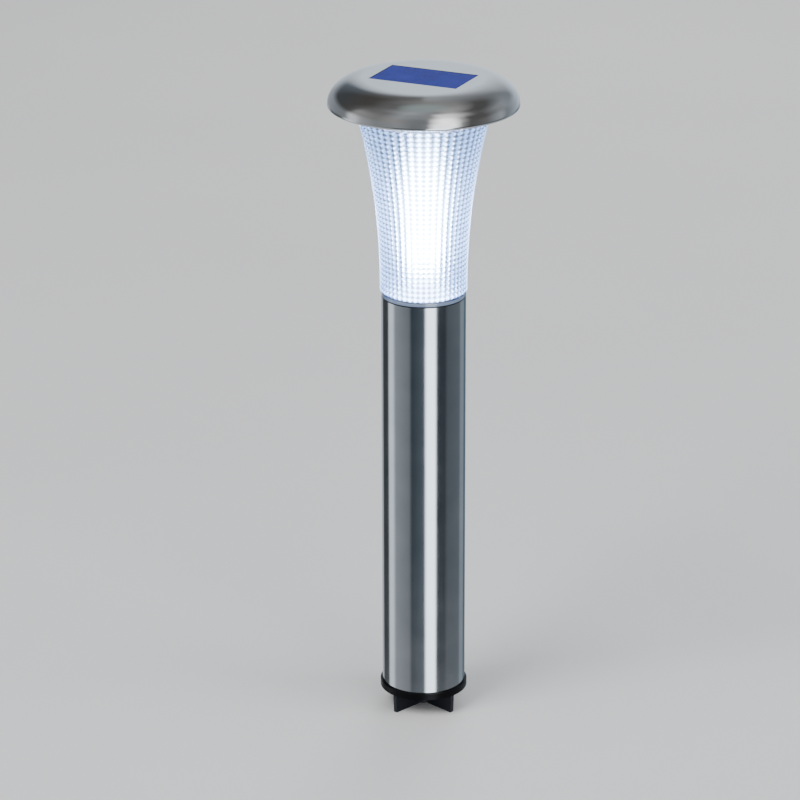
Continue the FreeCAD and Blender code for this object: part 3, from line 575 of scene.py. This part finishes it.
def build_lens(prisms, rim, inside):
    """One clear shell. Its outside is a grid of pillow-shaped prisms between two smooth rims."""
    rows = PRISM_ROWS * PRISM_STEPS
    grid = [GRID_LOW + (GRID_HIGH - GRID_LOW) * index / rows for index in range(rows + 1)]
    inner_top = GRID_HIGH - LENS_WALL
    inner_heights = []
    for index in range(LINING_STEPS + 1):
        inner_heights.append(inner_top - (inner_top - GRID_LOW) * index / LINING_STEPS)
    plug_bore = PLUG_RADIUS - PLUG_WALL
    ledge_bore = plug_bore - LEDGE
    ledge_top = LENS_LOW + LEDGE_HEIGHT
    ease = 0.3 * MM
    foot = [
        (ledge_bore, LENS_LOW), (PLUG_RADIUS, LENS_LOW), (PLUG_RADIUS, HOLDER_TOP),
        (TUBE_RADIUS, HOLDER_TOP), (TUBE_RADIUS, GRID_LOW - 0.2 * MM), (TUBE_RADIUS + ease, GRID_LOW),
    ]
    mouth = [
        (MOUTH_RADIUS, GRID_HIGH), (MOUTH_RADIUS, LENS_HIGH - ease), (MOUTH_RADIUS - ease, LENS_HIGH),
        (MOUTH_RADIUS - LENS_WALL, LENS_HIGH), (MOUTH_RADIUS - LENS_WALL, GRID_HIGH),
    ]
    lining = [(lens_radius(height) - LENS_WALL, height) for height in inner_heights]
    base = [(plug_bore, HOLDER_TOP), (plug_bore, ledge_top), (ledge_bore, ledge_top)]

    def section(angle):
        column = (angle * PRISM_COLUMNS / (2 * math.pi)) % 1.0
        crown = pillow(column)
        skin = []
        for index, height in enumerate(grid):
            bulge = crown * pillow(index % PRISM_STEPS / PRISM_STEPS) * PRISM_HEIGHT
            skin.append((lens_radius(height) - PRISM_SINK + bulge, height))
        return foot + skin + mouth + lining + base

    lens = around("lens_shell", section, even_angles(PRISM_COLUMNS * PRISM_STEPS), 50)
    give(lens, prisms, rim, inside)
    for face in lens.data.polygons:
        centre = face.center
        reach = math.hypot(centre.x, centre.y)
        on_skin = reach > lens_radius(centre.z) - (LENS_WALL + PRISM_SINK) / 2
        if not GRID_LOW < centre.z < GRID_HIGH:
            face.material_index = 1
        else:
            face.material_index = 0 if on_skin else 2
    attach(lens, "lens")
    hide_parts("prismatic_lens", "lens_mouth")


def dress_nodes(rim):
    """Materials and soft edges on the CAD nodes that are shown as they are."""
    black = plastic("black_plastic", (0.003, 0.003, 0.004), 0.30, shine=0.12)
    dark = plastic("spike_plastic", (0.013, 0.015, 0.021), 0.5, shine=0.3)
    white = plastic("white_plastic", (0.80, 0.80, 0.77), 0.38, 0.01)
    zinc = plated("zinc_plate", (0.66, 0.65, 0.62), 0.3)
    nickel = plated("nickel_plate", (0.70, 0.68, 0.62), 0.22)
    rubber = plastic("seal_rubber", (0.015, 0.015, 0.017), 0.62)
    dress(dark, "ground_spike")
    dress(black, "base_socket", "lens_holder")
    dress(rim, "lens_lugs")
    dress(white, "head_tray", "bayonet_tongues", "battery_door")
    dress(zinc, "cap_studs", "stud_nuts", "board_screws", "door_screws")
    dress(nickel, "contact_plate", "contact_spring")
    dress(rubber, "mouth_seal")
    dress(plastic("gasket_navy", (0.002, 0.002, 0.012), 0.6, shine=0.05), "window_gasket")
    dress(lit_cone(), "reflector_cone")
    dress(silicon(), "solar_cells")
    dress(cover(), "solar_cover")
    dress(plastic("backing_board", (0.70, 0.71, 0.66), 0.5), "solar_backing")
    dress(board_green(), "circuit_board")
    dress(plastic("chip_black", (0.012, 0.012, 0.013), 0.4), "driver_chip")
    dress(plastic("coil_green", (0.03, 0.16, 0.09), 0.3), "inductor")
    dress(diode(), "led_lamp")
    dress(plated("switch_metal", (0.6, 0.6, 0.6), 0.28), "switch_body")
    dress(plastic("red_plastic", (0.62, 0.012, 0.03), 0.32), "switch_knob")
    dress(battery_sleeve(), "battery")
    dress(plastic("red_lead", (0.5, 0.01, 0.012), 0.4), "solar_lead_red", "battery_lead_red")
    dress(plastic("black_lead", (0.01, 0.01, 0.01), 0.4), "solar_lead_black", "battery_lead_black")
    soften("ground_spike", 0.5 * MM)
    soften("base_socket", 0.35 * MM)
    soften("head_tray", 0.25 * MM)
    soften("battery_door", 0.25 * MM)
    soften("switch_knob", 0.25 * MM)


# ---------------------------------------------------------------- studio

def build_floor():
    """A plain pale floor at soil level, which the metal doesn't mirror."""
    bpy.ops.mesh.primitive_plane_add(size=30, location=(0, 0, 0))
    floor = bpy.context.object
    floor.name = "floor"
    pale = Shader("floor")
    pale.set("Roughness", 0.9)
    pale.set("Base Color", pale.ramp(pale.noise(3, 2), (0.3, 0.88), (0.7, 0.91)))
    give(floor, pale)
    floor.visible_glossy = False


def build_camera():
    """A long lens in front of the lamp, looking down at it, with the lamp a little right of centre."""
    data = bpy.data.cameras.new("camera")
    data.lens = FOCAL_LENGTH
    data.sensor_width = 36.0
    data.shift_x = CAMERA_SHIFT
    data.clip_start = 0.05
    data.clip_end = 100
    camera = bpy.data.objects.new("camera", data)
    camera.location = (0, -CAMERA_DISTANCE, CAMERA_HEIGHT)
    camera.rotation_euler = (math.radians(90) - CAMERA_TILT, 0, 0)
    bpy.context.scene.collection.objects.link(camera)
    bpy.context.scene.camera = camera


def area_light(name, place, width, height, power, colour=(1, 1, 1)):
    """A soft light aimed at the lamp's middle, which the steel doesn't mirror."""
    data = bpy.data.lights.new(name, "AREA")
    data.shape = "RECTANGLE"
    data.size = width
    data.size_y = height
    data.energy = power
    data.color = colour
    light = bpy.data.objects.new(name, data)
    light.location = place
    light.rotation_euler = (LIGHTS_AIM - Vector(place)).to_track_quat("-Z", "Y").to_euler()
    light.visible_glossy = False
    bpy.context.scene.collection.objects.link(light)


def build_lights():
    area_light("key", (-1.6, -1.4, 2.6), 1.6, 1.6, 60)
    area_light("fill", (2.2, -0.8, 1.6), 1.4, 1.4, 24, (0.95, 0.97, 1.0))
    area_light("back", (0.6, 2.6, 1.9), 1.6, 1.0, 24)


def build_lamp_light():
    """The lit diode's beam: soft round lights on the axis, bright near the cone and dim above."""
    beam = [
        # height between the cone's tip (0) and the diode (1), radius in mm, brightness
        (-0.10, 11.0, 3.5),
        (0.05, 14.0, 2.0),
        (0.18, 15.0, 1.2),
        (0.32, 17.0, 1.0),
        (0.46, 17.0, 0.8),
        (0.60, 15.0, 0.6),
        (0.73, 13.0, 0.4),
        (0.86, 11.0, 0.22),
    ]
    for index, (share, radius, brightness) in enumerate(beam):
        data = bpy.data.lights.new(f"lamp_{index}", "POINT")
        data.energy = LAMP_POWER * radius ** 2 * brightness
        data.shadow_soft_size = radius * MM
        data.color = (0.90, 0.95, 1.0)
        light = bpy.data.objects.new(f"lamp_{index}", data)
        light.location = (0, 0, CONE_TOP + (LED_LOW - CONE_TOP) * share)
        light.parent = frame["bodies"]["lens"]
        bpy.context.scene.collection.objects.link(light)


def walls(graph, turn, panels):
    """Light and dark panels round the lamp at one height: (degrees, brightness, share of blue)."""
    stops = []
    for degrees, bright, blue in panels:
        stops.append(((degrees + 180) / 360, (bright * (1 - blue), bright, bright * (1 + blue))))
    return graph.ramp(turn, *stops)


def build_world():
    """A soft studio with broad light and dark panels standing round it, for the steel to mirror.

    Degrees run from the side behind the camera, growing to the viewer's right."""
    world = bpy.data.worlds.new("studio")
    world.use_nodes = True
    bpy.context.scene.world = world
    graph = Graph(world.node_tree, "Generated")
    across, away, up = graph.split()
    azimuth = graph.math("ARCTAN2", across, graph.math("MULTIPLY", away, -1.0))
    turn = graph.math("MULTIPLY_ADD", azimuth, 1 / (2 * math.pi), 0.5)
    below = walls(graph, turn, [
        (-180, 0.7, 0.1), (-150, 0.7, 0.1), (-143, 0.08, 0.1), (-114, 0.08, 0.1), (-108, 1.3, 0.1),
        (-94, 1.3, 0.1), (-84, 0.45, 0.1), (-40, 0.27, 0.1), (-33, 0.065, 0.28), (2, 0.15, 0.22),
        (9.5, 4.5, 0.10), (30, 4.5, 0.10), (37, 0.065, 0.22), (60, 0.065, 0.22), (68, 0.15, 0.15),
        (115, 0.20, 0.15), (122, 0.40, 0.15), (140, 0.40, 0.15), (148, 0.12, 0.5), (180, 0.5, 0.1),
    ])
    level = walls(graph, turn, [
        (-180, 1.25, 0.12), (-172, 0.9, 0.12), (-160, 0.5, 0.1), (-120, 0.3, 0.1), (-105, 0.3, 0.05),
        (-97, 1.1, 0.05), (-88, 1.0, 0.05), (-78, 0.5, 0.05), (-58, 0.33, 0.05), (-30, 0.42, 0.05),
        (-12, 0.27, 0.05), (4, 0.32, 0.05), (14, 2.8, 0.02), (36, 3.2, 0.02), (46, 0.4, 0.0),
        (57, 0.13, 0.0), (80, 0.22, 0.0), (104, 0.55, 0.1), (116, 0.3, 0.1), (140, 0.6, 0.15),
        (168, 1.1, 0.15), (180, 1.25, 0.12),
    ])
    middle = walls(graph, turn, [
        (-180, 1.25, 0.12), (-172, 0.8, 0.1), (-164, 0.2, 0.15), (-148, 0.09, 0.1), (-115, 0.09, 0.0),
        (-102, 0.12, 0.0), (-93, 0.42, 0.0), (-60, 0.27, 0.0), (-38, 0.42, 0.0), (-14, 0.30, 0.05),
        (5, 0.27, 0.05), (14, 1.9, 0.0), (24, 3.4, 0.0), (36, 2.8, 0.0), (48, 0.6, 0.0), (58, 0.13, 0.0),
        (82, 0.14, 0.0), (106, 0.36, 0.05), (124, 0.42, 0.1), (150, 0.3, 0.1), (170, 0.9, 0.1),
        (180, 1.25, 0.12),
    ])
    high = walls(graph, turn, [
        (-180, 0.22, 0.0), (-152, 0.09, -0.04), (-120, 0.09, -0.04), (-95, 0.19, 0.0), (-60, 0.24, 0.0),
        (-35, 0.46, 0.05), (-5, 0.38, 0.05), (12, 0.36, 0.0), (26, 1.7, 0.0), (45, 1.5, 0.0), (62, 0.6, 0.0),
        (76, 0.18, 0.0), (95, 0.12, 0.0), (132, 0.12, 0.0), (156, 0.3, 0.05), (180, 0.5, 0.05),
    ])
    ceiling = walls(graph, turn, [
        (-180, 0.32, 0.0), (-135, 0.18, 0.0), (-98, 0.19, 0.0), (-60, 0.42, 0.05), (-30, 0.58, 0.05),
        (10, 0.40, 0.05), (36, 0.34, 0.0), (62, 0.6, 0.0), (92, 0.5, 0.0), (125, 0.36, 0.0),
        (180, 0.34, 0.0),
    ])
    overhead = (0.42, 0.49, 0.49, 1)
    room = (0.7, 0.72, 0.74, 1)
    layers = [
        # panels, and the rise (-1 down, 1 up) over which they blend in
        (below, -0.50, -0.42),
        (level, -0.28, -0.18),
        (middle, 0.10, 0.30),
        (high, 0.50, 0.72),
        (ceiling, 0.82, 0.93),
        (overhead, 0.95, 0.99),
    ]
    for panels, start, end in layers:
        risen = graph.math("DIVIDE", graph.math("SUBTRACT", up, start), end - start)
        share = graph.math("MINIMUM", graph.math("MAXIMUM", risen, 0.0), 1.0)
        room = graph.mix(share, room, panels)
    background = graph.tree.nodes["Background"]
    graph.feed(room, background.inputs["Color"])
    graph.feed(0.9, background.inputs["Strength"])


# ---------------------------------------------------------------- scene

rim_plastic = smooth_rim()
build_tube(brushed_tube())
build_cap(spun_cap())
build_lens(prism_lens(), rim_plastic, inner_wall())
dress_nodes(rim_plastic)
build_floor()
build_world()
build_lights()
build_lamp_light()
build_camera()
